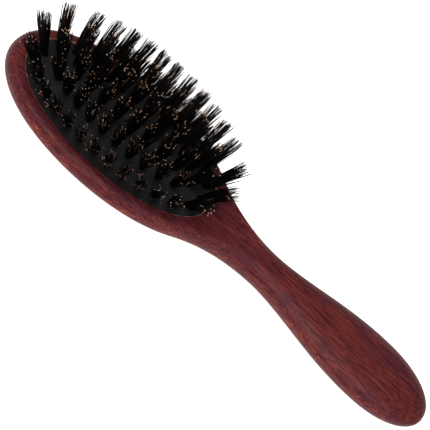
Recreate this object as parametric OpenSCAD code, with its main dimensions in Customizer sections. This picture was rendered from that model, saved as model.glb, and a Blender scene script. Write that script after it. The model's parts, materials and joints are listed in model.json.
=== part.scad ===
// Oval cushion hairbrush: a one-piece beech body, an air-backed rubber cushion held by its edge
// in a groove of the head, and boar-bristle tufts drawn through the cushion on wire staples.
// +X runs from the toe of the head to the end of the grip and +Z points out of the bristle side.
// The brush lies on its back on Z = 0.

/* [Wooden body] */
// Length from the toe of the head to the end of the grip
overall_length = 220; // [180:1:266]
// Width of the head
head_width = 62; // [50:1:76]
// Distance from the toe to the widest place of the head
head_front = 54.5; // [46:0.5:66]
// Distance from the widest place to where the oval of the head would close
head_back = 56; // [46:0.5:68]
// Distance from the toe to the narrowest place of the neck
neck_distance = 134.5; // [124:0.5:150]
// Narrowest width of the neck
neck_width = 17.4; // [14:0.2:22]
// Widest place of the grip
grip_width = 33.2; // [26:0.2:40]
// Length of the rounded end of the grip, past its widest place
grip_end = 30; // [22:1:38]
// Height of the flat rim above the surface that the brush lies on
rim_height = 11.8; // [10.5:0.1:15]
// Height of the flat rim above the plane where the body is widest
rim_above_middle = 4.6; // [4:0.1:5.6]
// Thickness of the wood above and below that plane at the neck
neck_depth = 5.8; // [5.6:0.1:8]
// Thickness of the grip above that plane
grip_above = 6.2; // [5.6:0.1:8]

/* [Pocket for the cushion] */
// Width of the rim beside the cushion
rim_side = 5.75; // [5:0.05:8]
// Width of the rim at the toe
rim_toe = 7.5; // [6.5:0.1:10]
// Distance from the pocket to where the oval of the head would close
rim_heel = 9; // [7:0.1:12]
// Depth of the pocket below the rim
pocket_depth = 6.6; // [5.5:0.1:8]
// How far the groove runs out under the rim
groove_reach = 1.8; // [1.2:0.1:2.4]
// Thickness of the wooden lip above the groove
lip = 1; // [0.8:0.1:1.4]

/* [Cushion] */
// Thickness of the rubber
rubber = 1.8; // [1.4:0.1:2.2]
// Height of the crown of the cushion above the rim
crown_rise = 4; // [2.5:0.1:6]
// Thickness of the cloth bonded behind the rubber
cloth = 0.4; // [0.2:0.1:0.6]
// Diameter of the vent hole at the crown
vent = 1.5; // [1:0.1:2]

/* [Bristle tufts] */
// Tufts in the outer ring
outer_count = 28; // [24, 28, 32]
// Tufts in the middle ring
middle_count = 22; // [18, 22]
// Tufts in the inner ring
inner_count = 14; // [10, 14]
// Distance from the edge of the cushion to the outer ring
tuft_margin = 5.2; // [4.3:0.1:6.5]
// Free length of the outer, middle and inner tufts, trimmed to one gentle crown
tuft_lengths = [17.8, 16.2, 14.4]; // [10:0.2:22]
// Diameter of a tuft where it leaves the rubber
tuft_root = 2.5; // [2:0.1:3]
// Diameter of a tuft at its tips
tuft_tip = 6; // [3.5:0.1:6.5]
// Lean of the outer, middle and inner tufts away from upright
leans = [37, 25, 11]; // [0:1:40]
// Share of that lean that a tuft loses where it leans along the brush
end_lean_loss = 0.22; // [0:0.01:0.5]
// Diameter of the staple wire
wire = 0.6; // [0.4:0.05:0.8]
// Length of a staple as a share of the gap between two rings
staple_share = 0.62; // [0.5:0.01:0.65]
// Height of a staple's turned-up legs
staple_leg = 0.9; // [0.6:0.1:1.4]

/* [Hidden] */
rings = ["outer", "middle", "inner"];
counts = [outer_count, middle_count, inner_count];
groups = [for (count = counts) floor(count / 4) + 1];  // tufts in one quarter of each ring

$fn = 48;
slack = 0.05;             // gap left round a piece that fits in another
flange_gap = 0.3;         // gap between the rubber's edge and the bottom of the groove
staple_gap = 0.65;        // depth below the cloth of a staple's legs, which its curve nearly closes
tuft_neck = 0.9;          // a tuft keeps its root's width this far past the rubber
pocket_roundness = 2.13;  // exponent of the pocket's oval
toe_roundness = 2.1;      // exponent of the toe's oval
grip_roundness = 2.15;    // exponent of the oval that ends the grip
section_roundness = 2.2;  // exponent of the body's cross-section
middle_z = rim_height - rim_above_middle;
toe_x = -overall_length / 2;
grip_distance = overall_length - grip_end;
shoulder_run = 12.5;      // the oval of the head gives way to the neck this far before it would close
shoulder_distance = head_front + head_back - shoulder_run;
pocket_end = head_front + head_back - rim_heel;
pocket_a = (pocket_end - rim_toe) / 2;
pocket_b = head_width / 2 - rim_side;
pocket_x = toe_x + (pocket_end + rim_toe) / 2;
cushion_edge_z = rim_height - lip;
crown_z = rim_height + crown_rise;
crown_sag = crown_rise + lip;
arc_x = (pow(pocket_a, 2) + pow(crown_sag, 2)) / (2 * crown_sag);  // dome radius lengthwise
arc_y = (pow(pocket_b, 2) + pow(crown_sag, 2)) / (2 * crown_sag);  // dome radius crosswise
ring_gap = 2 * (pocket_b - tuft_margin) / 5;  // three rings leave five gaps across the cushion
// A staple is long enough for its legs to stand clear of the tuft between them
staple_length = max(staple_share * ring_gap, tuft_root + 2 * wire + 4 * slack);

function clamp(t) = max(0, min(1, t));
function ease(t) = (1 - cos(180 * clamp(t))) / 2;
function oval(t, power) = pow(max(0, 1 - pow(abs(t), power)), 1 / power);
function signed(v, power) = sign(v) * pow(abs(v), power);
function hermite(t, from, slope, to) =
    from * (2 * pow(t, 3) - 3 * pow(t, 2) + 1) + slope * (pow(t, 3) - 2 * pow(t, 2) + t)
    + to * (3 * pow(t, 2) - 2 * pow(t, 3));

// ---- outline and thickness of the body, d being the distance from the toe ----

swell = 0.85;  // under 1, the grip swells early behind the neck
function heel_half(d) = head_width / 2 * oval((d - head_front) / head_back, 2);
function shoulder_half(d) =
    let (run = neck_distance - shoulder_distance,
         slope = (heel_half(shoulder_distance) - heel_half(shoulder_distance - 0.1)) / 0.1)
    hermite((d - shoulder_distance) / run, heel_half(shoulder_distance), slope * run, neck_width / 2);
function half_width(d) =
    d < head_front ? head_width / 2 * oval((head_front - d) / head_front, toe_roundness)
    : d < shoulder_distance ? heel_half(d)
    : d < neck_distance ? shoulder_half(d)
    : d < grip_distance ? neck_width / 2 + (grip_width - neck_width) / 2
        * ease(pow((d - neck_distance) / (grip_distance - neck_distance), swell))
    : grip_width / 2 * oval((d - grip_distance) / grip_end, grip_roundness);

nose_length = 26;  // over this length the wood thins towards the toe
tail_length = 24;  // and over this one towards the end of the grip
function ends(d) =
    oval(1 - clamp(d / nose_length), 2) * oval(1 - clamp((overall_length - d) / tail_length), 2);
function along(d, head, thin_from, grip) =
    d < neck_distance ? head + (neck_depth - head) * ease((d - thin_from) / (neck_distance - thin_from))
    : neck_depth + (grip - neck_depth) * ease((d - neck_distance) / (grip_distance - neck_distance));
bulge = 0.3;         // the back would bulge past its flats by this much
uncut_share = 1.93;  // height that the head would have if its top weren't cut flat, over the rim's
thin_back = 20;      // the back starts to thin this far past the widest place
thin_front = 8;      // and the front this far before the end of the pocket
flat_run = 1;        // the rim stays level this far past the pocket
function below(d) = ends(d) * along(d, middle_z + bulge, head_front + thin_back, middle_z + bulge);
function above(d) = ends(d) * along(d, rim_above_middle * uncut_share, pocket_end - thin_front, grip_above);
function flat_top(d) =
    let (flat_end = pocket_end + flat_run)
    d > neck_distance ? 2 * grip_above
    : rim_above_middle + (neck_depth - rim_above_middle) * ease((d - flat_end) / (neck_distance - flat_end));

stations = 74;
spokes = 44;
function station(i) = overall_length * (1 - cos(180 * i / stations)) / 2;
function section_point(d, angle) =
    let (across = half_width(d) * signed(cos(angle), 2 / section_roundness),
         up = pow(abs(sin(angle)), 2 / section_roundness))
    [toe_x + d, across,
     middle_z + (sin(angle) > 0 ? min(flat_top(d), above(d) * up) : -min(middle_z, below(d) * up))];

module body_blank() {
    rows = [for (i = [1:stations - 1])
        [for (k = [0:spokes - 1]) section_point(station(i), 360 * k / spokes)]];
    points = concat([[toe_x, 0, middle_z]], [for (row = rows) each row], [[-toe_x, 0, middle_z]]);
    last = len(points) - 1;
    function at(i, k) = 1 + i * spokes + k % spokes;
    faces = concat(
        [for (k = [0:spokes - 1]) [0, at(0, k + 1), at(0, k)]],
        [for (i = [0:stations - 3], k = [0:spokes - 1]) each [
            [at(i, k), at(i, k + 1), at(i + 1, k + 1)], [at(i, k), at(i + 1, k + 1), at(i + 1, k)]
        ]],
        [for (k = [0:spokes - 1]) [last, at(stations - 2, k), at(stations - 2, k + 1)]]
    );
    polyhedron(points, faces, convexity = 4);
}

// The pocket's oval, grown by a margin
module pocket_oval(grow = 0) {
    steps = 96;
    polygon([for (i = [0:steps - 1]) let (t = 360 * i / steps)
        [(pocket_a + grow) * signed(cos(t), 2 / pocket_roundness),
         (pocket_b + grow) * signed(sin(t), 2 / pocket_roundness)]]);
}

module pocket_prism(grow, low, high) {
    translate([pocket_x, 0, low]) linear_extrude(high - low) pocket_oval(grow);
}

module wooden_body() {
    color([0.36, 0.1, 0.1]) difference() {
        body_blank();
        pocket_prism(0, rim_height - pocket_depth, crown_z);
        pocket_prism(groove_reach, cushion_edge_z - rubber - slack, cushion_edge_z);
    }
}

// ---- the cushion's dome ----

// Solid under the dome's face, sunk by a depth: an arc lengthwise swung along an arc crosswise
module dome(sunk) {
    translate([pocket_x, 0, crown_z - arc_y]) rotate([0, 90, 0]) rotate_extrude($fn = 96)
        intersection() {
            translate([arc_y - arc_x, 0]) circle(arc_x - sunk, $fn = 180);
            translate([0, -pocket_a - 5]) square([arc_y, 2 * pocket_a + 10]);
        }
}

function dome_z(x, y) =
    crown_z - arc_y + sqrt(pow(arc_y - arc_x + sqrt(pow(arc_x, 2) - pow(x, 2)), 2) - pow(y, 2));
function dome_normal(x, y) =
    let (lengthwise = sqrt(pow(arc_x, 2) - pow(x, 2)),
         ridge = arc_y - arc_x + lengthwise,
         crosswise = sqrt(pow(ridge, 2) - pow(y, 2)),
         outward = [ridge / crosswise * x / lengthwise, y / crosswise, 1])
    outward / norm(outward);

module shell(outside, inside, edge_grow, low) {
    intersection() {
        difference() {
            dome(outside);
            dome(inside);
        }
        pocket_prism(edge_grow, low, crown_z + 1);
    }
}

module rubber_cushion() {
    edge_bottom = cushion_edge_z - rubber;
    inset = 1;  // the hollow's wall stands this far inside the pocket's
    color([0.08, 0.08, 0.085]) difference() {
        union() {
            intersection() {
                dome(0);
                pocket_prism(-slack, edge_bottom, crown_z + 1);
            }
            pocket_prism(groove_reach - flange_gap, edge_bottom, cushion_edge_z - slack);
        }
        intersection() {
            dome(rubber);
            pocket_prism(-inset, edge_bottom - 1, crown_z + 1);
        }
        all_tufts() tuft_hole();
        vent_hole();
    }
}

module backing_cloth() {
    inset = 4;  // the cloth's edge stands this far inside the pocket's wall
    color([0.75, 0.7, 0.6]) difference() {
        shell(rubber, rubber + cloth, -inset, cushion_edge_z - rubber);
        all_tufts() tuft_hole();
        vent_hole();
    }
}

module vent_hole() {
    translate([pocket_x, 0, rim_height - pocket_depth]) cylinder(d = vent, h = pocket_depth + 2 * crown_rise);
}

// ---- tufts: each ring is an oval, its tufts evenly spaced along it from the toe ----

function ring_a(ring) = pocket_a - tuft_margin - ring * ring_gap;
function ring_b(ring) = pocket_b - tuft_margin - ring * ring_gap;
function ring_point(ring, t) =
    [-ring_a(ring) * signed(cos(t), 2 / pocket_roundness),
     ring_b(ring) * signed(sin(t), 2 / pocket_roundness)];

// [distance along the ring, angle] pairs over its first quarter
quarter_steps = 180;
function ring_walk(ring) = [
    for (i = 0, t = 0, run = 0; i <= quarter_steps;
         i = i + 1, t = min(90, 90 * i / quarter_steps),
         run = run + norm(ring_point(ring, t) - ring_point(ring, 90 * max(0, i - 1) / quarter_steps)))
    [run, t]
];
walks = [for (ring = [0:2]) ring_walk(ring)];
function tuft_at(ring, group) =
    ring_point(ring, lookup(walks[ring][quarter_steps][0] * 4 * (group - 1) / counts[ring], walks[ring]));

// Tufts lean across the brush along its sides, and turn towards its ends over the last few
side_turn = 0.5;  // under 1, a tuft soon leans fully to its side
end_turn = 12;    // the higher, the fewer tufts turn towards an end
fan = 0.08;       // how much the others turn that way
function lean_towards(ring, p) =
    let (along = p[0] / ring_a(ring), across = p[1] / ring_b(ring))
    atan2(signed(across, side_turn), signed(along, end_turn) + fan * along);
function lean_by(ring, way) = leans[ring] * (1 - end_lean_loss * pow(cos(way), 2));

// From the rubber's face to the fold, so that the staple's legs reach the cloth
function fold_depth(p, way, lean) =
    let (axis = [sin(lean) * cos(way), sin(lean) * sin(way), cos(lean)])
    (rubber + cloth + staple_gap) / (axis * dome_normal(p[0], p[1])) + staple_leg;

module on_dome(ring, p) {
    way = lean_towards(ring, p);
    lean = lean_by(ring, way);
    $fold_depth = fold_depth(p, way, lean);
    translate([pocket_x + p[0], p[1], dome_z(p[0], p[1])])
        rotate([0, 0, way]) rotate([0, lean, 0]) children();
}

// A group is the tufts that share one height on the dome: one in each quarter
module group_of(ring, group) {
    p = tuft_at(ring, group);
    for (end = p[0] == 0 ? [1] : [1, -1], side = p[1] == 0 ? [1] : [1, -1])
        on_dome(ring, [end * p[0], side * p[1]]) children();
}

module all_tufts() {
    for (ring = [0:2], group = [1:groups[ring]]) group_of(ring, group) children();
}

module tuft_hole() {
    translate([0, 0, -$fold_depth]) cylinder(d = tuft_root + 2 * slack, h = $fold_depth + tuft_root);
}

module tuft(ring) {
    difference() {
        union() {
            translate([0, 0, tuft_neck])
                cylinder(d1 = tuft_root, d2 = tuft_tip, h = tuft_lengths[ring] - tuft_neck);
            translate([0, 0, -$fold_depth]) cylinder(d = tuft_root, h = $fold_depth + tuft_neck);
            translate([0, 0, -$fold_depth]) sphere(d = tuft_root);
        }
        translate([0, 0, -$fold_depth]) rotate([90, 0, 0])
            cylinder(d = wire + 2 * slack, h = 2 * tuft_root, center = true);
    }
}

module staple() {
    translate([0, 0, -$fold_depth]) {
        rotate([90, 0, 0]) cylinder(d = wire, h = staple_length, center = true);
        for (side = [1, -1])
            translate([0, side * (staple_length - wire) / 2, 0]) cylinder(d = wire, h = staple_leg);
    }
}

wooden_body();
rubber_cushion();
backing_cloth();
for (ring = [0:2], group = [1:groups[ring]]) {
    color([0.1, 0.08, 0.07]) group_of(ring, group) tuft(ring);
    color([0.7, 0.7, 0.72]) group_of(ring, group) staple();
}
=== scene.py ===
import json
import math
import bpy
import numpy as np
from mathutils import Matrix, Vector

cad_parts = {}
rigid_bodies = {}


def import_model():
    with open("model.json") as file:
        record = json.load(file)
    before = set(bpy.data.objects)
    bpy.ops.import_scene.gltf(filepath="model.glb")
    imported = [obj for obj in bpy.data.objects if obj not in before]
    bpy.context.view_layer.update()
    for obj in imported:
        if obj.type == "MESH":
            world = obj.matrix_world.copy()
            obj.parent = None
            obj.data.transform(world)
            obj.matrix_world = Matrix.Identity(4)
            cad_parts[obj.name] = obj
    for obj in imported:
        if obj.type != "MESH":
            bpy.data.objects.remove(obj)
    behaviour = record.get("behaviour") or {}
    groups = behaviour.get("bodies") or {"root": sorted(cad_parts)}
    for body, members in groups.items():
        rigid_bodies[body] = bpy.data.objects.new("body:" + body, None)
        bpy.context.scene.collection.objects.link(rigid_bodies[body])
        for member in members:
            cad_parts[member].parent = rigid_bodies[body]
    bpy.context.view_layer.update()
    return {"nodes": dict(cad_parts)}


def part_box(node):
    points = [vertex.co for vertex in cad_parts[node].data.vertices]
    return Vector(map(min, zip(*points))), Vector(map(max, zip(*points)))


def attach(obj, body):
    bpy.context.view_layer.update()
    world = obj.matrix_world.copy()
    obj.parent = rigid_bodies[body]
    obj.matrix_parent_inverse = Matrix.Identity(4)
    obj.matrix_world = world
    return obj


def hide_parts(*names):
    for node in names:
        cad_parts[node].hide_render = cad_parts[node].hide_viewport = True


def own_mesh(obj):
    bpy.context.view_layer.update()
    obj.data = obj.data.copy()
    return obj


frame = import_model()
mm = 0.001  # sizes below are in millimetres, and meshes are made in metres


# ways to draw a curve or an outline, shared by the pieces

def ease(t):
    return (1 - np.cos(np.pi * np.clip(t, 0, 1))) / 2


def oval(t, power):
    return np.maximum(0, 1 - np.abs(t) ** power) ** (1 / power)


def signed(v, power):
    return np.sign(v) * np.abs(v) ** power


def softMin(a, b, reach):  # the lesser of two, rounded over the reach where they cross
    h = np.clip(0.5 + 0.5 * (b - a) / reach, 0, 1)
    return b * (1 - h) + a * h - reach * h * (1 - h)


def enclosedArea(outline):
    x, y = outline.T
    return abs(np.sum(x * np.roll(y, -1) - y * np.roll(x, -1))) / 2


def ringAt(outline, z):  # an outline of the pocket as a ring of points at one height
    return np.column_stack([padX + outline[:, 0], outline[:, 1], np.full(len(outline), z)])


def makePiece(name, points, faces):
    mesh = bpy.data.meshes.new(name)
    mesh.from_pydata((np.asarray(points) * mm).tolist(), [], faces)
    mesh.validate()
    mesh.shade_smooth()
    piece = bpy.data.objects.new(name, mesh)
    bpy.context.scene.collection.objects.link(piece)
    return piece


# a closed skin over rings of points, drawn together into one point at each end
def skinOver(rings, first, last):
    count, around = rings.shape[:2]
    points = np.concatenate([[first], rings.reshape(-1, 3), [last]])
    at = lambda i, k: 1 + i * around + k % around
    end = len(points) - 1
    faces = [(0, at(0, k), at(0, k + 1)) for k in range(around)]
    faces += [(at(i, k), at(i + 1, k), at(i + 1, k + 1), at(i, k + 1))
              for i in range(count - 1) for k in range(around)]
    faces += [(end, at(count - 1, k + 1), at(count - 1, k)) for k in range(around)]
    return points, faces


def cutAway(piece, cutter, sharpOver):
    cut = piece.modifiers.new("cut", "BOOLEAN")
    cut.operation, cut.solver, cut.object = "DIFFERENCE", "EXACT", cutter
    cut.material_mode = "TRANSFER"
    depsgraph = bpy.context.evaluated_depsgraph_get()
    mesh = bpy.data.meshes.new_from_object(piece.evaluated_get(depsgraph))
    piece.modifiers.clear()
    piece.data = mesh
    bpy.data.objects.remove(cutter)
    mesh.shade_smooth()
    mesh.set_sharp_from_angle(angle=math.radians(sharpOver))


def finishWith(piece, *finishes):
    piece.data.materials.clear()
    for finish in finishes:
        piece.data.materials.append(finish)


# a socket that takes part in sums, so that 1 - grain or grain * 0.3 adds its Math nodes
class Value:
    def __init__(self, finish, socket):
        self.finish, self.socket = finish, socket

    def sum(self, operation, *values):
        return self.finish.node("ShaderNodeMath", {"operation": operation}, values)

    def __add__(self, other):
        return self.sum("ADD", self, other)

    def __sub__(self, other):
        return self.sum("SUBTRACT", self, other)

    def __rsub__(self, other):
        return self.sum("SUBTRACT", other, self)

    def __mul__(self, other):
        return self.sum("MULTIPLY", self, other)

    __radd__ = __add__
    __rmul__ = __mul__

    def above(self, limit, reach):  # 0 under the limit, 1 over it, soft over the reach
        return self.finish.node("ShaderNodeMapRange", {"interpolation_type": "SMOOTHSTEP"},
                                {0: self, 1: limit - reach, 2: limit + reach})


# one material and its nodes
class Finish:
    def __init__(self, name, **settings):
        self.material = bpy.data.materials.new(name)
        self.material.use_nodes = True
        self.tree = self.material.node_tree
        self.shader = self.tree.nodes["Principled BSDF"]
        for socket, value in settings.items():
            self.shader.inputs[socket.replace("_", " ")].default_value = value

    def node(self, kind, settings, sockets, output=0):
        made = self.tree.nodes.new(kind)
        for key, value in settings.items():
            if key == "stops":
                self.setStops(made.color_ramp, value)
            else:
                setattr(made, key, value)
        pairs = sockets.items() if isinstance(sockets, dict) else enumerate(sockets)
        for key, value in pairs:
            self.feed(made.inputs[key], value)
        return Value(self, made.outputs[output])

    def feed(self, socket, value):
        if isinstance(value, Value):
            self.tree.links.new(value.socket, socket)
        else:
            socket.default_value = value

    def setStops(self, ramp, stops):
        while len(ramp.elements) < len(stops):
            ramp.elements.new(0.5)
        for element, (place, colour) in zip(ramp.elements, stops):
            element.position, element.color = place, (*colour, 1)

    def place(self, stretch):  # the point on the piece in millimetres, squeezed along each axis
        here = self.node("ShaderNodeTexCoord", {}, {}, "Object")
        factors = tuple(s / mm for s in stretch)
        return self.node("ShaderNodeVectorMath", {"operation": "MULTIPLY"}, [here, factors])

    def noise(self, stretch, detail=2.0, roughness=0.5, distortion=0.0):
        return self.node("ShaderNodeTexNoise", {"normalize": True},
                         {"Vector": self.place(stretch), "Scale": 1.0, "Detail": detail,
                          "Roughness": roughness, "Distortion": distortion})

    def mix(self, share, a, b):
        a, b = [c if isinstance(c, Value) else (*c, 1) for c in (a, b)]
        return self.node("ShaderNodeMix", {"data_type": "RGBA"}, {0: share, 6: a, 7: b}, 2)

    def bump(self, height, distance, strength=1.0):
        return self.node("ShaderNodeBump", {}, {"Height": height, "Distance": distance * mm,
                                                "Strength": strength}, "Normal")

    def show(self, **values):
        for socket, value in values.items():
            self.feed(self.shader.inputs[socket.replace("_", " ")], value)
        return self.material


# camera: looking down at the bristle side from beside the head, turned so that the brush runs
# from the upper left to the lower right

cameraSettings = {
    "target": (-5.0, -0.35, 11.5),
    "distance": 560,
    "fromUpright": 43,     # degrees between the line of sight and straight down
    "roll": 43.15,         # degrees that the brush is turned in the frame
    "lens": 119.1,
    "sensorWidth": 36,
    "clip": (0.01, 50),    # metres
}


def makeCamera():
    tilt, roll = math.radians(cameraSettings["fromUpright"]), math.radians(cameraSettings["roll"])
    back = Vector((0, -math.sin(tilt), math.cos(tilt)))
    level, upright = Vector((1, 0, 0)), Vector((0, math.cos(tilt), math.sin(tilt)))
    right = math.cos(roll) * level + math.sin(roll) * upright
    up = math.cos(roll) * upright - math.sin(roll) * level
    camera = bpy.data.objects.new("camera", bpy.data.cameras.new("camera"))
    camera.data.lens, camera.data.sensor_width = cameraSettings["lens"], cameraSettings["sensorWidth"]
    camera.data.clip_start, camera.data.clip_end = cameraSettings["clip"]
    place = (Vector(cameraSettings["target"]) + cameraSettings["distance"] * back) * mm
    turn = Matrix((right, up, back)).transposed().to_4x4()
    camera.matrix_world = Matrix.Translation(place) @ turn
    bpy.context.scene.collection.objects.link(camera)
    bpy.context.scene.camera = camera


makeCamera()
print("camera placed")


# floor and light

studio = {
    "floorSize": 6.0,      # metres
    "floorColour": (0.93, 0.93, 0.93),
    "floorGlow": 0.9,      # the floor is lit from below as well, so nothing casts a shadow on it
    "skySeen": 1.0,        # brightness of the backdrop past the floor's edge
    "skyLight": 0.2,       # what it gives to the brush
    "softboxes": [         # place, size and power of each, in metres and watts
        {"name": "overheadSoftbox", "place": (-0.25, -0.35, 1.0), "size": 0.9, "power": 12},
        {"name": "sideSoftbox", "place": (0.7, -0.75, 0.75), "size": 0.7, "power": 3.2},
    ],
}


def makeStudio():
    scene = bpy.context.scene
    scene.view_settings.view_transform = "Standard"
    half = studio["floorSize"] / 2 / mm
    corners = [(-half, -half, 0), (half, -half, 0), (half, half, 0), (-half, half, 0)]
    floor = makePiece("floor", corners, [(0, 1, 2, 3)])
    paper = Finish("palePaper", Roughness=0.9, Specular_IOR_Level=0.0)
    glow = {"Emission_Color": (1, 1, 1, 1), "Emission_Strength": studio["floorGlow"]}
    finishWith(floor, paper.show(Base_Color=(*studio["floorColour"], 1), **glow))
    world = bpy.data.worlds.new("studio")
    world.use_nodes = True
    scene.world = world
    tree = world.node_tree
    sky = tree.nodes["Background"]
    ray = tree.nodes.new("ShaderNodeLightPath")
    strength = tree.nodes.new("ShaderNodeMapRange")
    strength.inputs["To Min"].default_value = studio["skyLight"]
    strength.inputs["To Max"].default_value = studio["skySeen"]
    tree.links.new(ray.outputs["Is Camera Ray"], strength.inputs["Value"])
    tree.links.new(strength.outputs[0], sky.inputs["Strength"])
    sky.inputs["Color"].default_value = (1, 1, 1, 1)
    for box in studio["softboxes"]:
        lamp = bpy.data.lights.new(box["name"], "AREA")
        lamp.size, lamp.energy = box["size"], box["power"]
        holder = bpy.data.objects.new(box["name"], lamp)
        holder.location = box["place"]
        holder.rotation_euler = (-Vector(box["place"])).to_track_quat("-Z", "Y").to_euler()
        scene.collection.objects.link(holder)


makeStudio()
print("studio lit")


# places that every piece shares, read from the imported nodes

woodLow, woodHigh = [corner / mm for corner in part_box("wooden_body")]
padLow, padHigh = [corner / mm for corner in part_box("rubber_cushion")]
fit = {
    "lip": 1.0,            # wood over the groove
    "rubber": 1.8,
    "cloth": 0.4,
    "flange": 1.5,         # how far the rubber's edge runs into the groove
    "slack": 0.05,         # gap left round a piece that fits in another
}
padX = (padLow.x + padHigh.x) / 2
pocketA = (padHigh.x - padLow.x) / 2 - fit["flange"]
pocketB = (padHigh.y - padLow.y) / 2 - fit["flange"]
crownZ = padHigh.z
padEdgeZ = padLow.z + fit["rubber"]
rimZ = padEdgeZ + fit["lip"]
crownSag = crownZ - padEdgeZ
# radii of the dome, lengthwise and crosswise
arcX = (pocketA ** 2 + crownSag ** 2) / (2 * crownSag)
arcY = (pocketB ** 2 + crownSag ** 2) / (2 * crownSag)
pocketRoundness = 2.13


def pocketOval(grow, steps):  # round the pocket's outline, counter-clockwise
    t = np.linspace(0, 2 * np.pi, steps, endpoint=False)
    return np.stack([(pocketA + grow) * signed(np.cos(t), 2 / pocketRoundness),
                     (pocketB + grow) * signed(np.sin(t), 2 / pocketRoundness)], 1)


def domeZ(x, y, sunk=0.0):  # height of the dome, or of a skin that lies this deep under it
    lengthwise = arcY - arcX + np.sqrt(np.maximum(0, (arcX - sunk) ** 2 - x ** 2))
    return crownZ - arcY + np.sqrt(np.maximum(0, lengthwise ** 2 - y ** 2))


# wooden body

beech = {
    "headFront": 54.5,     # from the toe to the widest place of the head
    "headBack": 56.0,      # and on to where its oval would close
    "shoulder": 98.0,      # where the oval gives way to the neck's curve
    "neck": 134.5,
    "neckWidth": 17.4,
    "gripEnd": 30.0,
    "gripWidth": 33.2,
    "swell": 0.85,         # how soon the grip swells behind the neck
    "toeRoundness": 2.1,
    "gripRoundness": 2.15,
    "sectionRoundness": 2.2,
    "rimAboveMiddle": 4.6,
    "neckDepth": 5.8,
    "gripAbove": 6.2,
    "noseLength": 26.0,    # the toe thickens over this run
    "tailLength": 24.0,    # and the end of the grip over this one
    "bulge": 0.3,          # of the back past the plane that it is cut flat at
    "uncutShare": 1.93,    # height of the head before its rim is cut flat, in heights of the rim
    "backThinning": 20.0,  # the back starts to thin this far behind the widest place
    "topThinning": 8.0,    # and the top this far before the pocket ends
    "rimPast": 1.0,        # the rim stays flat this far past the pocket
    "rimSoftness": 1.3,    # reach of the rounding along the rim's outer edge
    "neckSoftness": 0.05,  # and at the neck, where the flat rim has faded out
    "backSoftness": 0.25,
    "pocketDepth": 6.6,
    "grooveReach": 1.8,
    "edgeRound": 0.22,     # rounding of the pocket's top edge
    "floorRound": 0.8,
    "cutterRise": 3.0,     # the pocket's cutter stands this far out of the wood
    "cutterDraft": 0.02,   # and widens by this much on the way
    "pocketSpokes": 240,
    "stations": 280,
    "spokes": 144,
}
bodyLength = woodHigh.x - woodLow.x
headHalf = (woodHigh.y - woodLow.y) / 2
middleZ = rimZ - beech["rimAboveMiddle"]


def halfWidth(d):
    b = beech
    heel = lambda x: headHalf * oval((x - b["headFront"]) / b["headBack"], 2)
    run = b["neck"] - b["shoulder"]
    slope = (heel(b["shoulder"]) - heel(b["shoulder"] - 0.1)) / 0.1 * run
    t = (d - b["shoulder"]) / run
    shoulder = (heel(b["shoulder"]) * (2 * t ** 3 - 3 * t ** 2 + 1) + slope * (t ** 3 - 2 * t ** 2 + t)
                + b["neckWidth"] / 2 * (3 * t ** 2 - 2 * t ** 3))
    gripAt = bodyLength - b["gripEnd"]
    along = np.clip((d - b["neck"]) / (gripAt - b["neck"]), 0, 1) ** b["swell"]
    swell = (b["neckWidth"] + (b["gripWidth"] - b["neckWidth"]) * ease(along)) / 2
    toe = headHalf * oval((b["headFront"] - d) / b["headFront"], b["toeRoundness"])
    end = b["gripWidth"] / 2 * oval((d - gripAt) / b["gripEnd"], b["gripRoundness"])
    return np.select([d < b["headFront"], d < b["shoulder"], d < b["neck"], d < gripAt],
                     [toe, heel(d), shoulder, swell], end)


def thickness(d, head, thinFrom, grip):
    b = beech
    gripAt = bodyLength - b["gripEnd"]
    ends = (oval(1 - np.clip(d / b["noseLength"], 0, 1), 2)
            * oval(1 - np.clip((bodyLength - d) / b["tailLength"], 0, 1), 2))
    front = head + (b["neckDepth"] - head) * ease((d - thinFrom) / (b["neck"] - thinFrom))
    rear = b["neckDepth"] + (grip - b["neckDepth"]) * ease((d - b["neck"]) / (gripAt - b["neck"]))
    return ends * np.where(d < b["neck"], front, rear)


def makeWood():
    b = beech
    pocketEnd = padX + pocketA - woodLow.x
    d = bodyLength * (1 - np.cos(np.pi * np.arange(1, b["stations"]) / b["stations"])) / 2
    d = d[:, None]
    angle = np.arange(b["spokes"])[None] / b["spokes"] * 2 * np.pi
    across = halfWidth(d) * signed(np.cos(angle), 2 / b["sectionRoundness"])
    up = np.abs(np.sin(angle)) ** (2 / b["sectionRoundness"])
    back, uncut = middleZ + b["bulge"], b["rimAboveMiddle"] * b["uncutShare"]
    below = thickness(d, back, b["headFront"] + b["backThinning"], back) * up
    above = thickness(d, uncut, pocketEnd - b["topThinning"], b["gripAbove"]) * up
    rimEnd = pocketEnd + b["rimPast"]
    rise = ease((d - rimEnd) / (b["neck"] - rimEnd))
    flat = b["rimAboveMiddle"] + (b["neckDepth"] - b["rimAboveMiddle"]) * rise
    flat = np.where(d > b["neck"], 2 * b["gripAbove"], flat) + 0 * up
    softness = b["rimSoftness"] * (1 - rise) + b["neckSoftness"]
    height = np.where(np.sin(angle) > 0, softMin(flat, above, softness),
                      -softMin(middleZ + 0 * below, below, b["backSoftness"]))
    height = np.where(up < 1e-9, 0, height)
    rings = np.stack([woodLow.x + d + 0 * across, across, middleZ + height], 2)
    points, faces = skinOver(rings, (woodLow.x, 0, middleZ), (woodHigh.x, 0, middleZ))
    return makePiece("beech_body", points, [face[::-1] for face in faces])


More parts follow.
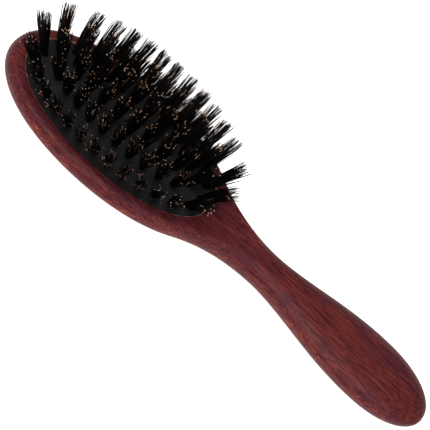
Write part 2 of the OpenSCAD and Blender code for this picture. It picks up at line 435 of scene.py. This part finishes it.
# the router's path: pocket, undercut groove and a lightly rounded top edge, as one cutter
def makePocketCutter():
    b = beech
    floorZ, grooveLow = rimZ - b["pocketDepth"], padLow.z - fit["slack"]
    quarter = np.radians([0, 30, 60, 90])
    profile = [(b["floorRound"] * (np.sin(q) - 1), floorZ + b["floorRound"] * (1 - np.cos(q)))
               for q in quarter]
    profile += [(0, grooveLow), (b["grooveReach"], grooveLow)]
    profile += [(b["grooveReach"], padEdgeZ), (0, padEdgeZ)]
    profile += [(b["edgeRound"] * (1 - np.cos(q)), rimZ - b["edgeRound"] * (1 - np.sin(q)))
                for q in quarter]
    topZ = rimZ + b["cutterRise"]
    profile += [(b["edgeRound"] + b["cutterDraft"], topZ)]
    rings = [ringAt(pocketOval(grow, b["pocketSpokes"]), z) for grow, z in profile]
    points, faces = skinOver(np.array(rings), (padX, 0, floorZ), (padX, 0, topZ))
    return makePiece("pocketCutter", points, [face[::-1] for face in faces])


stainedTones = {
    "deep": (0.028, 0.0026, 0.0058),
    "wine": (0.099, 0.0115, 0.0160),
    "warm": (0.184, 0.0290, 0.0220),
    "plum": (0.083, 0.0155, 0.0290),
    "fleck": (0.50, 0.100, 0.038),
}
rawTones = {
    "deep": (0.18, 0.085, 0.05),
    "wine": (0.47, 0.28, 0.19),
    "warm": (0.56, 0.36, 0.24),
    "plum": (0.42, 0.25, 0.18),
    "fleck": (0.62, 0.42, 0.28),
}


# the marks of beech in the order they are laid on: each pattern's squeeze along X, Y and Z, detail,
# roughness and distortion, then the value it shows above, how softly, how strongly and in what tone
beechMarks = {
    "bands": {"noise": ((0.010, 0.16, 0.22), 3, 0.55, 0.6), "above": (0.5, 0.12),
              "strength": 1.0, "tone": "warm"},
    "blotches": {"noise": ((0.045, 0.09, 0.09), 2, 0.5), "above": (0.52, 0.12),
                 "strength": 0.6, "tone": "plum"},
    "streaks": {"noise": ((0.030, 0.85, 0.85), 4, 0.65, 0.4), "above": (0.52, 0.07),
                "strength": 0.6, "tone": "warm"},
    "fibres": {"noise": ((0.10, 2.1, 2.1), 4, 0.75), "above": (0.49, 0.05),
               "strength": 0.8, "tone": "deep"},
    "vessels": {"noise": ((0.30, 3.6, 3.6), 1, 0.5), "above": (0.61, 0.05),
                "strength": 0.65, "tone": "deep"},
    "rays": {"noise": ((0.20, 0.45, 1.6), 2, 0.5, 1.2), "above": (0.665, 0.02),
             "strength": 0.75, "tone": "fleck"},
}
flankHeights = (8.0, 10.5)  # the flanks, where the rays show, fade into the top between these


def makeBeech(name, tones, roughness, coat):
    wood = Finish(name, IOR=1.45, Coat_Weight=coat, Coat_Roughness=0.3, Specular_IOR_Level=0.16)
    patterns = {mark: wood.noise(*look["noise"]) for mark, look in beechMarks.items()}
    shown = {mark: patterns[mark].above(*look["above"]) for mark, look in beechMarks.items()}
    height = wood.node("ShaderNodeSeparateXYZ", {}, [wood.place((1, 1, 1))], "Z")
    fromFlank = wood.node("ShaderNodeMapRange", {}, {0: height, 1: flankHeights[0], 2: flankHeights[1]})
    relief = patterns["fibres"] * 0.35 - shown["vessels"] * 0.8
    shown["fibres"] = 1 - shown["fibres"]  # the dark lines lie between the fibres
    shown["rays"] *= 1 - fromFlank
    colour = tones["wine"]
    for mark, look in beechMarks.items():
        colour = wood.mix(shown[mark] * look["strength"], colour, tones[look["tone"]])
    return wood.show(Base_Color=colour, Roughness=roughness + patterns["fibres"] * 0.14,
                     Normal=wood.bump(relief, 0.03, 0.6))


body = makeWood()
finishWith(body, makeBeech("stainedBeech", stainedTones, 0.46, 0.05))
cutter = makePocketCutter()
finishWith(cutter, makeBeech("rawBeech", rawTones, 0.62, 0.0))
cutAway(body, cutter, 32)
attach(body, "body")
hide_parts("wooden_body")
print("wooden body:", len(body.data.polygons), "faces")


# where the tufts stand: three ovals, each with its tufts evenly spaced from the toe round

tufts = {
    "rings": ("outer", "middle", "inner"),
    "counts": (28, 22, 14),
    "leans": (37, 25, 11),
    "lengths": (17.8, 16.2, 14.4),
    "margin": 5.2,
    "root": 2.5,
    "sideTurn": 0.5,       # under 1, a tuft soon leans fully to its side
    "endTurn": 12,         # the higher, the fewer tufts turn towards an end
    "fan": 0.08,           # slight turn of all of them towards the nearer end
    "endLeanLoss": 0.22,   # share of the lean lost where a tuft leans along the brush
    "stapleGap": 0.65,     # depth below the cloth of the ends of a staple's legs
    "stapleLeg": 0.9,
}
ringGap = 2 * (pocketB - tufts["margin"]) / 5


def groupPoint(ring, group):
    ringA, ringB = [half - tufts["margin"] - ring * ringGap for half in (pocketA, pocketB)]
    t = np.linspace(0, np.pi / 2, 181)  # every half degree
    x = -ringA * signed(np.cos(t), 2 / pocketRoundness)
    y = ringB * signed(np.sin(t), 2 / pocketRoundness)
    walked = np.concatenate([[0], np.cumsum(np.hypot(np.diff(x), np.diff(y)))])
    angle = np.interp(walked[-1] * 4 * group / tufts["counts"][ring], walked, t)
    return (-ringA * signed(np.cos(angle), 2 / pocketRoundness),
            ringB * signed(np.sin(angle), 2 / pocketRoundness), ringA, ringB)


# every tuft of a group as a matrix from its own axes, Z along the tuft, to the brush
def groupFrames(ring, group):
    x, y, ringA, ringB = groupPoint(ring, group)
    ends = [1] if abs(x) < 1e-6 else [1, -1]
    sides = [1] if abs(y) < 1e-6 else [1, -1]
    frames = []
    for end in ends:
        for side in sides:
            px, py = end * x, side * y
            along = signed(px / ringA, tufts["endTurn"]) + tufts["fan"] * px / ringA
            way = math.atan2(signed(py / ringB, tufts["sideTurn"]), along)
            lean = math.radians(tufts["leans"][ring]) * (1 - tufts["endLeanLoss"] * math.cos(way) ** 2)
            turn = Matrix.Rotation(way, 4, "Z") @ Matrix.Rotation(lean, 4, "Y")
            frames.append(Matrix.Translation((padX + px, py, float(domeZ(px, py)))) @ turn)
    return frames


# how far along its axis a tuft goes below the rubber's face to its fold
def foldDepth(spot):
    x, y = spot.translation.x - padX, spot.translation.y
    lengthwise = math.sqrt(arcX ** 2 - x ** 2)
    ridge = arcY - arcX + lengthwise
    crosswise = math.sqrt(ridge ** 2 - y ** 2)
    outward = Vector((ridge / crosswise * x / lengthwise, y / crosswise, 1)).normalized()
    layers = fit["rubber"] + fit["cloth"] + tufts["stapleGap"]
    return layers / spot.col[2].xyz.dot(outward) + tufts["stapleLeg"]


groups = [(ring, group) for ring in range(3) for group in range(tufts["counts"][ring] // 4 + 1)]
allFrames = {key: groupFrames(*key) for key in groups}


# holes for the tufts, and a vent for the air at the crown

holes = {
    "radius": tufts["root"] / 2 + fit["slack"],
    "ventRadius": 0.75,
    "above": 1.4,          # reach of a cutter out of the rubber's face
    "below": 6.0,          # and below it
    "around": 24,
    "flare": 0.26,         # widening below the face, where the tufts slide past as the pad is pressed
    "flareTo": 2.6,        # depth over which they widen
}


def makeHoleCutter(name):
    h = holes
    angle = np.linspace(0, 2 * np.pi, h["around"], endpoint=False)
    circle = np.column_stack([np.cos(angle), np.sin(angle), 0 * angle])
    wide = h["radius"] + h["flare"] * h["flareTo"]
    tuftHole = [(wide, -h["below"]), (wide, -h["flareTo"]), (h["radius"], 0), (h["radius"], h["above"])]
    ventHole = [(h["ventRadius"], -h["below"]), (h["ventRadius"], h["above"])]
    spots = [(Matrix.Translation((padX, 0, crownZ)), ventHole)]
    spots += [(spot, tuftHole) for frames in allFrames.values() for spot in frames]
    allPoints, allFaces = [], []
    for spot, profile in spots:
        rings = np.array([circle * (radius, radius, 1) + (0, 0, z) for radius, z in profile])
        points, faces = skinOver(rings, (0, 0, -h["below"]), (0, 0, h["above"]))
        turn, start = np.array(spot), len(allPoints)
        allPoints += list(points @ turn[:3, :3].T + turn[:3, 3])
        allFaces += [tuple(start + v for v in face[::-1]) for face in faces]
    return makePiece(name, allPoints, allFaces)


# rubber cushion

cushion = {
    "rings": 62,
    "around": 288,
    "dimple": 0.34,        # how far each staple draws the rubber in
    "dimpleReach": 1.9,
    "edgeDrop": 0.02,      # the dome ends this far below the lip
    "cornerIn": 0.25,      # corners of the flange, taken in
    "cornerDown": 0.3,     # and down
    "footIn": 1.2,         # the flange's foot ends this far inside the pocket's wall
    "hollowIn": 1.6,       # and the hollow under the rubber starts this far inside it
    "hollowRise": 0.02,
    "fill": 0.9,
}
tuftSpots = np.array([spot.translation[:2] for frames in allFrames.values() for spot in frames])


def drawnIn(x, y):
    reach = cushion["dimpleReach"]
    sink = np.zeros_like(x)
    for spotX, spotY in tuftSpots:
        away = (x - (spotX - padX)) ** 2 + (y - spotY) ** 2
        sink += cushion["dimple"] * np.exp(-away / reach ** 2)
    return sink


def domeRings(sunk, grow, shares):
    outline = pocketOval(grow, cushion["around"])
    rings = []
    for share in shares:
        x, y = outline[:, 0] * share, outline[:, 1] * share
        rings.append(np.column_stack([padX + x, y, domeZ(x, y, sunk) - drawnIn(x, y)]))
    return rings


def makeCushion():
    c = cushion
    shares = np.linspace(0, 1, c["rings"] + 1)[1:]
    top = domeRings(0, -fit["slack"], shares)
    top[-1][:, 2] = padEdgeZ - c["edgeDrop"]
    highZ, lowZ, out = padEdgeZ - fit["slack"], padLow.z, fit["flange"]
    profile = [(out / 2, highZ), (out - c["cornerIn"], highZ), (out, highZ - c["cornerDown"]),
               (out, lowZ + c["cornerDown"]), (out - c["cornerIn"], lowZ), (0, lowZ), (-c["footIn"], lowZ)]
    flange = [ringAt(pocketOval(grow, c["around"]), z) for grow, z in profile]
    under = domeRings(fit["rubber"], -c["hollowIn"], shares[::-1])
    for ring in under:
        ring[:, 2] = np.maximum(ring[:, 2], lowZ + c["hollowRise"])
    crown, hollow = (padX, 0, crownZ), (padX, 0, crownZ - fit["rubber"])
    points, faces = skinOver(np.array(top + flange + under), crown, hollow)
    return makePiece("rubber_pad", points, faces)


rubberTones = {
    "matte": (0.0100, 0.0100, 0.0110),
    "bloomed": (0.0165, 0.0165, 0.0178),
    "print": (0.0045, 0.0045, 0.0050),
}


def makeRubber():  # its face carries the print of a fine cloth
    rubber = Finish("blackRubber", Specular_IOR_Level=0.1)
    ribs = [rubber.node("ShaderNodeTexWave", {"wave_type": "BANDS", "bands_direction": "X"},
                        {"Vector": rubber.place(stretch), "Scale": 1.0, "Distortion": 0.8,
                         "Detail": 1.0, "Detail Scale": 0.6}, "Fac")
            for stretch in ((0.3, 0, 0), (0, 0.3, 0))]
    grain = rubber.noise((1.9, 1.9, 1.9), 3, 0.6)
    bloom = rubber.noise((0.07, 0.07, 0.07), 2, 0.5).above(0.5, 0.25)
    weave = ribs[0] * ribs[1]
    colour = rubber.mix(bloom, rubberTones["matte"], rubberTones["bloomed"])
    colour = rubber.mix(weave * 0.75, colour, rubberTones["print"])
    relief = grain * 0.7 - weave * 0.8
    return rubber.show(Base_Color=colour, Roughness=0.62 + grain * 0.22,
                       Normal=rubber.bump(relief, 0.07, 0.6))


pad = makeCushion()
rubberFinish = makeRubber()
finishWith(pad, rubberFinish)
cutter = makeHoleCutter("padHoles")
finishWith(cutter, rubberFinish)
cutAway(pad, cutter, 40)
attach(pad, "body")
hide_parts("rubber_cushion")
print("rubber cushion:", len(pad.data.polygons), "faces")


# backing cloth, bonded behind the rubber

backing = {
    "setIn": 4.0,          # from the pocket's wall
    "glue": 0.03,          # between the rubber and the cloth
    "rings": 40,
    "edgePoints": 360,     # of the outline that its area is measured on
}


def makeBacking():
    shares = np.linspace(0, 1, backing["rings"] + 1)[1:]
    highest, lowest = fit["rubber"] + backing["glue"], fit["rubber"] + fit["cloth"]
    upper = domeRings(highest, -backing["setIn"], shares)
    lower = domeRings(lowest, -backing["setIn"], shares[::-1])
    middles = [(padX, 0, crownZ - depth) for depth in (highest, lowest)]
    points, faces = skinOver(np.array(upper + lower), *middles)
    return makePiece("cotton_backing", points, faces)


cottonTones = {"shaded": (0.40, 0.35, 0.26), "lit": (0.66, 0.61, 0.50)}


def makeCotton():
    cotton = Finish("wovenCotton", Specular_IOR_Level=0.2, Sheen_Weight=0.2)
    threads = [cotton.node("ShaderNodeTexWave", {"wave_type": "BANDS", "bands_direction": "DIAGONAL"},
                           {"Vector": cotton.place(stretch), "Scale": 1.0, "Distortion": 0.4}, "Fac")
               for stretch in ((1.4, 0, 0), (0, 1.4, 0))]
    weave = threads[0] * threads[1]
    colour = cotton.mix(weave, cottonTones["shaded"], cottonTones["lit"])
    return cotton.show(Base_Color=colour, Roughness=0.9 - weave * 0.1,
                       Normal=cotton.bump(weave, 0.1, 0.8))


cloth = makeBacking()
cottonFinish = makeCotton()
finishWith(cloth, cottonFinish)
cutter = makeHoleCutter("clothHoles")
finishWith(cutter, cottonFinish)
cutAway(cloth, cutter, 40)
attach(cloth, "body")
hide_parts("backing_cloth")
clothArea = enclosedArea(pocketOval(-backing["setIn"], backing["edgePoints"]) * mm)
print("backing cloth:", len(cloth.data.polygons), "faces")


# bristles: each hair is folded round the staple, so it stands as two ends

bristle = {
    "pairs": 60,           # folded hairs in a tuft
    "radius": 0.115,
    "tipRadius": 0.08,
    "taper": 1.5,          # over 1, a hair keeps its radius longer past its middle
    "flagged": 0.095,      # share of the hairs whose pale tip has split
    "flagRadius": 0.115,
    "flagBias": 1.1,       # how much likelier split tips are on one side of a tuft
    "bundle": 1.10,        # radius of the tuft where it passes the rubber
    "parting": 0.02,       # left free between its halves
    "jostle": 0.04,        # how far a root is off its place
    "opening": 0.78,       # under 1, a tuft opens out soon after the rubber
    "openTo": 3.0,         # how much wider its tip is than the bundle
    "clumps": 11,          # hairs lean together in about this many locks
    "clumpTurn": 2.4,      # radians from a lock to the next
    "clumping": 0.4,
    "clumpingMost": 1.3,   # a hair follows its lock by up to this many times that
    "stray": 0.45,         # sideways wander of a tip
    "bow": 0.16,           # sideways bend halfway up
    "longest": 1.09,       # of the tuft's nominal length
    "uneven": 0.42,        # share of the length that the shortest lose
    "shortFew": 2.5,       # the higher, the fewer lose much of it
    "wild": 0.03,          # share of the length by which any of them is off
    "sides": 3,
    "upTo": (0.0, 0.2, 0.45, 0.7, 0.88, 0.96, 1.0),
    "sleeveAt": 0.45,      # share of the way to the fold that a hair runs straight
    "sleeveShare": 0.12,   # part of a hair's colour run that lies below the rubber's face
    "fold": 0.42,          # radius of the innermost hairs' fold round the wire
    "foldSpread": 0.62,    # what the outer ones add to it, over their distance from the parting
    "foldPack": 0.8,       # share of its distance along the wire that a hair keeps there
    "seed": 11,
}


# the two legs of every hair of a tuft: where it leaves the rubber, where it ends, how high and how bent
def growHairs(random, length):
    b = bristle
    k = np.arange(b["pairs"] * 6) + 0.5  # more places than needed, all over the bundle
    radius = b["bundle"] * np.sqrt(k / len(k))
    angle = k * math.pi * (3 - math.sqrt(5)) + random.uniform(0, 2 * math.pi)
    x, y = radius * np.cos(angle), radius * np.sin(angle)
    chosen = random.permutation(np.flatnonzero(x > b["parting"]))[: b["pairs"]]
    halfRoots = np.column_stack([x[chosen], y[chosen]])  # the other half mirrors it across the staple
    lockRadius = b["bundle"] * b["openTo"] * np.sqrt(random.uniform(0.05, 1, b["clumps"]))
    lockAngle = random.uniform(0, 2 * math.pi) + np.arange(b["clumps"]) * b["clumpTurn"]
    locks = np.column_stack([lockRadius * np.cos(lockAngle), lockRadius * np.sin(lockAngle)])
    legs = []
    for side in (1, -1):
        root = halfRoots * (side, 1) + random.normal(0, b["jostle"], halfRoots.shape)
        tip = root * b["openTo"]
        nearest = locks[np.argmin(((tip[:, None] - locks[None]) ** 2).sum(2), 1)]
        tip += (nearest - tip) * b["clumping"] * random.uniform(0, b["clumpingMost"], (len(tip), 1))
        tip += random.normal(0, b["stray"], tip.shape)
        reach = length * (b["longest"] - b["uneven"] * random.uniform(0, 1, len(tip)) ** b["shortFew"]
                          + b["wild"] * random.normal(0, 1, len(tip)))
        legs.append((root, tip, reach, random.normal(0, b["bow"], tip.shape)))
    return legs


# the middle line of a hair, from one tip round the staple to the other, and its share of the colour run
def hairPath(legs, h, depth):
    b = bristle
    upTo = np.array(b["upTo"])
    t = upTo[:, None]
    runs = []
    for root, tip, reach, bow in [[part[h] for part in leg] for leg in legs]:
        line = root + (tip - root) * t ** b["opening"] + bow * np.sin(np.pi * t) * t
        sleeve = [[*root, -b["sleeveAt"] * depth]]
        runs.append(np.concatenate([sleeve, np.column_stack([line, upTo * reach])]))
    root = legs[0][0][h]
    turn = np.radians([90, 45, 0, -45, -90])
    wrap = b["fold"] + b["foldSpread"] * abs(root[0])
    bend = np.column_stack([wrap * np.sin(turn), 0 * turn + b["foldPack"] * root[1],
                            -depth - wrap * np.cos(turn)])
    below = b["sleeveShare"]
    share = np.concatenate([[below / 2], below + (1 - below) * upTo])
    return np.concatenate([runs[0][::-1], bend, runs[1]]), np.concatenate([share[::-1], 0 * turn, share])


# rings of points round a hair's middle line
def sweepHair(path, thin, twist):
    run = np.gradient(path, axis=0)
    run /= np.linalg.norm(run, axis=1)[:, None]
    flat = np.array([0, 1, 0]) - run * run[:, 1:2]
    flat /= np.linalg.norm(flat, axis=1)[:, None]
    deep = np.cross(run, flat)
    around = np.arange(bristle["sides"]) * 2 * np.pi / bristle["sides"]
    skin = [path + thin[:, None] * (np.cos(twist + a) * flat + np.sin(twist + a) * deep) for a in around]
    return np.stack(skin, 1).reshape(-1, 3)


# faces of a hair that is one of a pair up to its middle and the other past it
def hairFaces(start, first, count):
    sides = bristle["sides"]
    faces, hairs = [], []
    for i in range(count - 1):
        for s in range(sides):
            at, beside = start + i * sides + s, start + i * sides + (s + 1) % sides
            faces.append((at, beside, beside + sides, at + sides))
            hairs.append(first + (i >= count // 2))
    faces.append(tuple(start + s for s in range(sides))[::-1])
    faces.append(tuple(start + (count - 1) * sides + s for s in range(sides)))
    return faces, hairs + [first, first + 1]


def makeTufts(ring, group):
    b = bristle
    random = np.random.default_rng([b["seed"], ring, group])
    points, faces, along, shade, hairs = [], [], [], [], []
    for spot in allFrames[ring, group]:
        turn, depth = np.array(spot), foldDepth(spot)
        legs = growHairs(random, tufts["lengths"][ring])
        paleAngle = random.uniform(0, 2 * math.pi)  # more of the hairs on this side have pale tips
        paleSide = np.array([math.cos(paleAngle), math.sin(paleAngle)]) / b["bundle"]
        for h in range(b["pairs"]):
            path, share = hairPath(legs, h, depth)
            count = len(path)
            paler = np.array([max(0, leg[0][h].dot(paleSide)) for leg in legs])
            tone = random.uniform(0, 1, 2) * np.exp(-b["flagBias"] * paler)
            tones = np.where(np.arange(count) < count // 2, tone[0], tone[1])
            thin = b["radius"] + (b["tipRadius"] - b["radius"]) * np.clip(2 * share - 1, 0, 1) ** b["taper"]
            thin = np.where((tones < b["flagged"]) & (share > 0.99), b["flagRadius"], thin)
            skin = sweepHair(path, thin, random.uniform(0, 2 * math.pi))
            start = len(points) * len(skin)
            hairSkin, itsHairs = hairFaces(start, 2 * len(points), count)
            points.append(skin @ turn[:3, :3].T + turn[:3, 3])
            faces += hairSkin
            hairs += itsHairs
            along.append(np.repeat(share, b["sides"]))
            shade.append(np.repeat(tones, b["sides"]))
    piece = makePiece(f"{tufts['rings'][ring]}_bristles_{group + 1}", np.concatenate(points), faces)
    for name, values in (("along", along), ("shade", shade)):
        piece.data.attributes.new(name, "FLOAT", "POINT").data.foreach_set(
            "value", np.concatenate(values).astype(np.float32))
    mapHairs(piece, np.array(hairs), np.concatenate(along), len(points) * 2)
    return piece


# each hair has its own column on the map, in three rows, so that its tone can be kept
hairMap = {"rows": 3, "sideMargin": 0.15, "endMargin": 0.04}


def mapHairs(piece, hairs, along, count):
    rows, side, end = hairMap["rows"], hairMap["sideMargin"], hairMap["endMargin"]
    columns = math.ceil(count / rows)
    corners = np.zeros(len(piece.data.loops), np.int32)
    piece.data.loops.foreach_get("vertex_index", corners)
    starts, totals = [np.zeros(len(piece.data.polygons), np.int32) for _ in range(2)]
    piece.data.polygons.foreach_get("loop_start", starts)
    piece.data.polygons.foreach_get("loop_total", totals)
    face = np.repeat(np.arange(len(starts)), totals)
    nth = np.arange(len(corners)) - starts[face]
    hair = hairs[face]
    right = np.where((nth == 1) | (nth == 2), 1 - side, side)
    high = end + (1 - 2 * end) * along[corners]
    u = (hair % columns + right) / columns
    v = (hair // columns + high) / rows
    layer = piece.data.uv_layers.new(name="OFBake", do_init=False)
    layer.uv.foreach_set("vector", np.column_stack([u, v]).astype(np.float32).ravel())


bristleTones = {
    "dark": (0.0025, 0.0020, 0.0020),
    "brown": (0.012, 0.006, 0.0045),
    "amber": (0.36, 0.13, 0.035),
    "tan": (1.0, 0.62, 0.40),
}
# the hairs that turn brown or amber are those with a shade above the first value, and they turn
# past the second one along them, each with how softly it starts
bristleTurns = {"brown": ((0.88, 0.02), (0.8, 0.18)), "amber": ((0.982, 0.005), (0.75, 0.2))}
splitTip = (0.972, 0.008)  # where along a hair its tan tip starts, and how softly


def makeBristle():
    hair = Finish("boarBristle", Specular_IOR_Level=0.1)
    along = hair.node("ShaderNodeAttribute", {"attribute_name": "along"}, {}, "Fac")
    shade = hair.node("ShaderNodeAttribute", {"attribute_name": "shade"}, {}, "Fac")
    colour = bristleTones["dark"]
    for tone, (which, where) in bristleTurns.items():
        colour = hair.mix(shade.above(*which) * along.above(*where), colour, bristleTones[tone])
    flag = (1 - shade.above(bristle["flagged"], 0.002)) * along.above(*splitTip)
    colour = hair.mix(flag, colour, bristleTones["tan"])
    return hair.show(Base_Color=colour, Roughness=0.55 - along * 0.1)


bristleFinish = makeBristle()
for ring, group in groups:
    piece = makeTufts(ring, group)
    finishWith(piece, bristleFinish)
    name = tufts["rings"][ring]
    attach(piece, f"{name}_group_{group + 1}")
    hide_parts(f"{name}_tufts_{group + 1}")
print("bristles on", len(groups), "groups")


# staples keep their own solids, as drawn wire

wireTones = {"dull": (0.42, 0.42, 0.41), "bright": (0.68, 0.68, 0.67)}


def makeWire():
    wire = Finish("drawnWire", Metallic=1.0, Specular_IOR_Level=0.5)
    lines = wire.noise((2.0, 9.0, 9.0), 2, 0.6)
    colour = wire.mix(lines, wireTones["dull"], wireTones["bright"])
    return wire.show(Base_Color=colour, Roughness=0.28 + lines * 0.2,
                     Normal=wire.bump(lines, 0.01, 0.5))


wireFinish = makeWire()
for name, node in frame["nodes"].items():
    if "staples" in name:
        finishWith(node, wireFinish)
print("staples finished")


# the rubber and its cloth each get a mesh of their own, shared with no other piece

for piece in (pad, cloth):
    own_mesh(piece)
